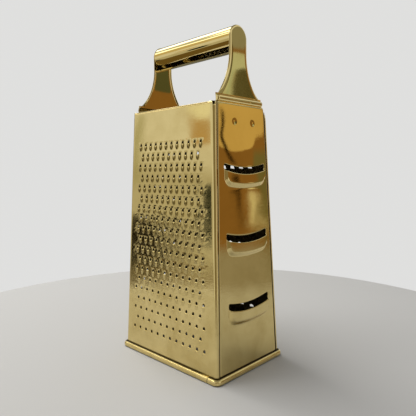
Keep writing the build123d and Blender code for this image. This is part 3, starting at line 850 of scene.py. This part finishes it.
def footBand():
    # the rolled section carried round the foot: the path lies at the corner radius from its middles (cx, cy),
    # and each of the section's points is moved out along the path's own outward direction
    b = band
    s = b["sheet"]
    roll = b["reach"] - s
    top = b["height"]
    outer = rounded([(b["legOut"] - s, 0), (b["reach"], 0), (b["reach"], top), (-b["lipGap"], top)],
                    [1.5, 2.2], 7)
    inner = rounded([(-b["lipGap"], top - s), (roll, top - s), (roll, s), (b["legOut"], s),
                     (b["legOut"], b["leg"]), (b["legOut"] - s, b["leg"])], [1.6, 0.9, 0, 0], 5)
    profile = np.concatenate([outer, inner])
    a, d, r = body["footHalfX"], body["footHalfY"], body["bend"]
    turn, quarter, gap = np.linspace(0, np.pi / 2, 9), np.pi / 2, b["jointGap"] / 2
    near = np.linspace(b["joint"] + gap, a - r - 0.4, 4)
    far = np.linspace(0.8 * r - a + 3, b["joint"] - gap, 12)
    path, out = [], []
    for cx, cy, angle in ((near, r - d, -quarter), (a - r, r - d, turn - quarter), (a - r, d - r, turn),
                          (r - a, d - r, turn + quarter), (r - a, r - d, turn + np.pi),
                          (far, r - d, -quarter)):
        cx, cy, angle = np.broadcast_arrays(cx, cy, angle)
        normal = np.stack([np.cos(angle), np.sin(angle)], axis=-1)
        path.append(np.stack([cx, cy], axis=-1) + r * normal)
        out.append(normal)
    path, out = np.concatenate(path), np.concatenate(out)
    # painted shade on the band: in the crevice where its top meets the panel, and along its underside
    bandShade = np.clip((1.5 - profile[:, 0]) / 0.6, 0, 1) * (profile[:, 1] > top - 0.4)
    bandShade = np.maximum(bandShade, 0.8 * np.clip((1.0 - profile[:, 1]) / 0.6, 0, 1))
    xy = path[:, None] + out[:, None] * profile[None, :, :1]
    rings = np.concatenate([xy, np.broadcast_to(profile[None, :, 1:], xy.shape[:2] + (1,))], axis=-1)
    points, quads = sweptLoop(rings)
    shade = np.zeros(len(points))
    shade[:rings.shape[0] * rings.shape[1]] = np.tile(bandShade, rings.shape[0])
    return [(points, quads, shade)]


makePiece("footBand", footBand(), rimGold, ["base_band"], closed=True, sharp=35)
for name in ("right_bracket_welds", "left_bracket_welds"):
    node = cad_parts[name]
    node.data.materials.clear()
    node.data.materials.append(weldMetal)
print("pieces ready")

studio = {
    "floorColour": (0.54, 0.535, 0.52), "floorReach": 0.31, "wall": (0.74, 0.74, 0.73),
    "fill": (0.36, 0.36, 0.36),
    "lights": [
        # name, place, aimed at, size across, size up, watts, colour
        ("overhead softbox", (-0.42, -0.26, 1.05), (-0.05, -0.05, 0.1), 0.9, 0.8, 9.0, (1.0, 0.99, 0.97)),
        ("left softbox", (-0.75, 0.05, 0.95), (0, 0, 0.2), 0.45, 0.45, 3.5, (1.0, 0.98, 0.94)),
    ],
    "cards": [
        # soft coloured cards round the set, which only the metal sees: azimuth and elevation of the middle,
        # half width, half height and softness in degrees, shape (2 oval, 8 square), slant (degrees round for
        # each degree up), colour
        ("dim ceiling", 0, 74, 200, 22, 8.0, 8, 0, (0.24, 0.24, 0.22)),
        ("grey card, behind", 140, 0, 28, 40, 6.0, 5, 0, (0.17, 0.17, 0.155)),
        ("wide card over the grip", -176, 40, 34, 9.0, 1.5, 8, 0, (0.60, 0.64, 0.62)),
        ("far softbox over the grip", 165, 45, 16, 6.0, 1.5, 8, 0, (3.0, 3.0, 3.2)),
        ("near softbox over the grip", -148, 34.5, 17, 4.2, 1.2, 8, 0, (2.2, 2.2, 2.2)),
        ("softbox over the front", -137, 50, 24, 5.0, 1.5, 8, 0, (4.0, 4.0, 3.7)),
        ("camera side of the set", -42, -2, 34, 40, 10.0, 4, 0, (0.24, 0.20, 0.12)),
        ("dark card, far left", -160, 0, 7.5, 22, 3.0, 4, 0, (0.06, 0.05, 0.025)),
        ("dim card, left", -137, -6, 24, 10, 4.0, 6, 0, (0.52, 0.50, 0.42)),
        ("tan card, high left", -137, 27, 16, 7.5, 3.0, 8, 0, (0.62, 0.52, 0.30)),
        ("pale card, left", -135.4, 11.0, 1.4, 1.1, 0.3, 3, 0, (0.86, 0.86, 0.74)),
        ("warm card, left", -135.3, 8.1, 1.5, 1.7, 0.25, 6, 0, (0.52, 0.36, 0.17)),
        ("olive card, left", -143.6, 5.5, 0.6, 4.5, 0.3, 4, 0, (0.42, 0.42, 0.27)),
        ("brown card, low left", -137, -25.5, 34, 14.5, 1.0, 8, 0, (0.15, 0.10, 0.03)),
        ("dark card, left", -142.8, -7.6, 4.2, 4.2, 0.6, 3, 0, (0.015, 0.012, 0.006)),
        ("narrow dark card, left", -133.5, -3.0, 1.35, 4.0, 0.3, 3, 0, (0.01, 0.015, 0.006)),
        ("brown card, right", 46, 2, 26, 16, 2.0, 8, 0, (0.25, 0.13, 0.035)),
        ("grey card, low right", 50, -15, 26, 8.0, 0.7, 8, 0.1, (0.31, 0.28, 0.22)),
        ("grey card, high right", 50, 25, 30, 9.5, 0.8, 8, 0, (0.28, 0.27, 0.20)),
        ("amber card, right", 50.2, 9.2, 3.3, 3.5, 0.15, 2.3, 0, (0.60, 0.42, 0.16)),
        ("pale green card, right", 49, 13.7, 3.6, 1.15, 0.3, 8, 0, (0.52, 0.56, 0.42)),
        ("green card, right", 47.3, 12.1, 2.2, 0.7, 0.3, 4, 0, (0.36, 0.46, 0.36)),
        ("dark card, right", 51.95, 12.25, 2.3, 0.8, 0.2, 8, 0.4, (0.10, 0.09, 0.04)),
        ("dark card, far right", 40, 12.8, 4.6, 3.2, 0.6, 8, 0, (0.09, 0.095, 0.045)),
        ("olive card, right", 54.6, -3.0, 1.6, 8.5, 0.4, 5, -0.12, (0.17, 0.15, 0.06)),
        ("pale strip, right", 52.0, -2.2, 0.6, 2.6, 0.15, 6, -0.12, (0.70, 0.64, 0.44)),
        ("dark strip, right", 48.4, 7.2, 0.22, 3.3, 0.12, 6, -0.2, (0.03, 0.015, 0.003)),
        ("dark strip, low right", 49.5, -1.4, 0.3, 3.6, 0.12, 6, -0.12, (0.03, 0.015, 0.003)),
    ],
}


def makeFloor():
    # a flat disc: rings of points round the middle
    radius = np.array([0.0, 0.3, 0.7, 1.0]) * studio["floorReach"]
    turn = np.linspace(0, 2 * np.pi, 65)[:-1]
    x, y = radius[:, None] * np.cos(turn), radius[:, None] * np.sin(turn)
    points, quads = surface(np.stack([x, y, 0 * x], axis=-1), closed=True)
    material = bpy.data.materials.new("pale floor")
    material.use_nodes = True
    shader = material.node_tree.nodes["Principled BSDF"]
    shader.inputs["Base Color"].default_value = (*studio["floorColour"], 1)
    shader.inputs["Roughness"].default_value = 0.9
    makeObject("floor", points, quads, material)


def stand(obj, place, right, up, back):
    # puts an object at a place, its own X, Y and Z along the three directions
    turn = np.stack([right, up, back], axis=1)
    obj.matrix_world = Matrix([[*row, at] for row, at in zip(turn, place)] + [[0, 0, 0, 1]])


def aim(obj, place, target):
    # looks from place to target, up kept upright
    back = np.array(place, float) - np.array(target, float)
    back = back / np.linalg.norm(back)
    right = np.cross([0, 0, 1], back)
    right = right / np.linalg.norm(right)
    stand(obj, place, right, np.cross(back, right), back)


makeFloor()
for name, place, target, wide, tall, watts, colour in studio["lights"]:
    data = bpy.data.lights.new(name, "AREA")
    data.shape = "RECTANGLE"
    data.size, data.size_y = wide, tall
    data.energy = watts
    data.color = colour
    lamp = bpy.data.objects.new(name, data)
    lamp.visible_glossy = False
    bpy.context.scene.collection.objects.link(lamp)
    aim(lamp, place, target)


# what each card says after its name and before its colour
cardInputs = ("Middle Azimuth", "Middle Elevation", "Half Width", "Half Height", "Softness", "Shape", "Slant")


def makeSoftArea():
    # an area of the backdrop: (across / half width) and (up / half height) are each raised to the power
    # Shape, and the distance is that root of their sum, so 2 gives an oval and 8 nearly a rectangle; the mask
    # is 1 inside and eases to 0 over the softness
    group, given, result = newGroup("softArea", ("Azimuth", "Elevation", *cardInputs), "Mask")
    above = compute(group, "SUBTRACT", given["Elevation"], given["Middle Elevation"])
    beside = compute(group, "SUBTRACT", given["Azimuth"], given["Middle Azimuth"])
    straight = compute(group, "SUBTRACT", beside, compute(group, "MULTIPLY", above, given["Slant"]))
    turn = compute(group, "WRAP", straight, 180.0, -180.0)
    powers = []
    for away, half in ((turn, "Half Width"), (above, "Half Height")):
        size = compute(group, "ABSOLUTE", compute(group, "DIVIDE", away, given[half]))
        powers.append(compute(group, "POWER", size, given["Shape"]))
    root = compute(group, "DIVIDE", 1.0, given["Shape"])
    distance = compute(group, "POWER", compute(group, "ADD", *powers), root)
    smaller = compute(group, "MINIMUM", given["Half Width"], given["Half Height"])
    depth = compute(group, "MULTIPLY", compute(group, "SUBTRACT", 1.0, distance), smaller)
    edge = compute(group, "DIVIDE", depth, given["Softness"])
    group.links.new(ramp(group, edge, -0.5, 0.5, smooth=True), result)
    return group


def makeRoom():
    # beyond the floor the camera sees a plain pale wall, the metal sees that wall with the cards in front,
    # and everything else is lit by a plain fill; a slow noise shifts the cards' edges by up to 0.9 degrees
    world = bpy.data.worlds.new("studio")
    bpy.context.scene.world = world
    world.use_nodes = True
    tree = world.node_tree
    tree.nodes.clear()
    direction = addNode(tree, "TexCoord").outputs["Generated"]
    wander = noise(tree, direction, 12.0, 1.0)
    shift = ramp(tree, wander, 0.0, 1.0, -0.9, 0.9)
    parts = addNode(tree, "SeparateXYZ", {"Vector": direction}).outputs
    turns = (compute(tree, "ARCTAN2", parts["Y"], parts["X"]), compute(tree, "ARCSINE", parts["Z"]))
    azimuth, elevation = [compute(tree, "MULTIPLY_ADD", turn, degrees(1), shift) for turn in turns]
    softArea = makeSoftArea()
    seen = studio["wall"]
    for name, *values, tone in studio["cards"]:
        inputs = {"Azimuth": azimuth, "Elevation": elevation, **dict(zip(cardInputs, values))}
        area = addNode(tree, "Group", inputs, node_tree=softArea, label=name)
        seen = blend(tree, area.outputs["Mask"], seen, tone)
    rays = addNode(tree, "LightPath").outputs
    shown = addNode(tree, "Background", {"Color": blend(tree, rays["Is Camera Ray"], seen, studio["wall"])})
    fill = addNode(tree, "Background", {"Color": (*studio["fill"], 1)})
    either = compute(tree, "MAXIMUM", rays["Is Camera Ray"], rays["Is Glossy Ray"])
    direct = compute(tree, "MAXIMUM", either, rays["Is Transmission Ray"])
    pick = addNode(tree, "MixShader", {0: direct, 1: fill.outputs[0], 2: shown.outputs[0]})
    addNode(tree, "OutputWorld", {0: pick.outputs[0]})


makeRoom()

# the camera as it was fitted: its place in metres, its angles in degrees and its lens for a film 36 mm wide
view = {"place": (0.25093, -0.24686, 0.14703), "azimuth": 44.26, "down": 4.75, "roll": -0.51, "lens": 37.825}
azimuth, down, roll = (radians(view[k]) for k in ("azimuth", "down", "roll"))
forward = np.array([-np.sin(azimuth) * np.cos(down), np.cos(azimuth) * np.cos(down), -np.sin(down)])
right = np.cross(forward, [0, 0, 1])
right = right / np.linalg.norm(right)
up = np.cross(right, forward)
data = bpy.data.cameras.new("camera")
data.lens = view["lens"]
data.sensor_width = 36.0
data.clip_start = 0.01
camera = bpy.data.objects.new("camera", data)
bpy.context.scene.collection.objects.link(camera)
rolledRight = np.cos(roll) * right + np.sin(roll) * up
stand(camera, view["place"], rolledRight, np.cos(roll) * up - np.sin(roll) * right, -forward)
bpy.context.scene.camera = camera
bpy.context.scene.view_settings.view_transform = "Standard"
print("studio ready")
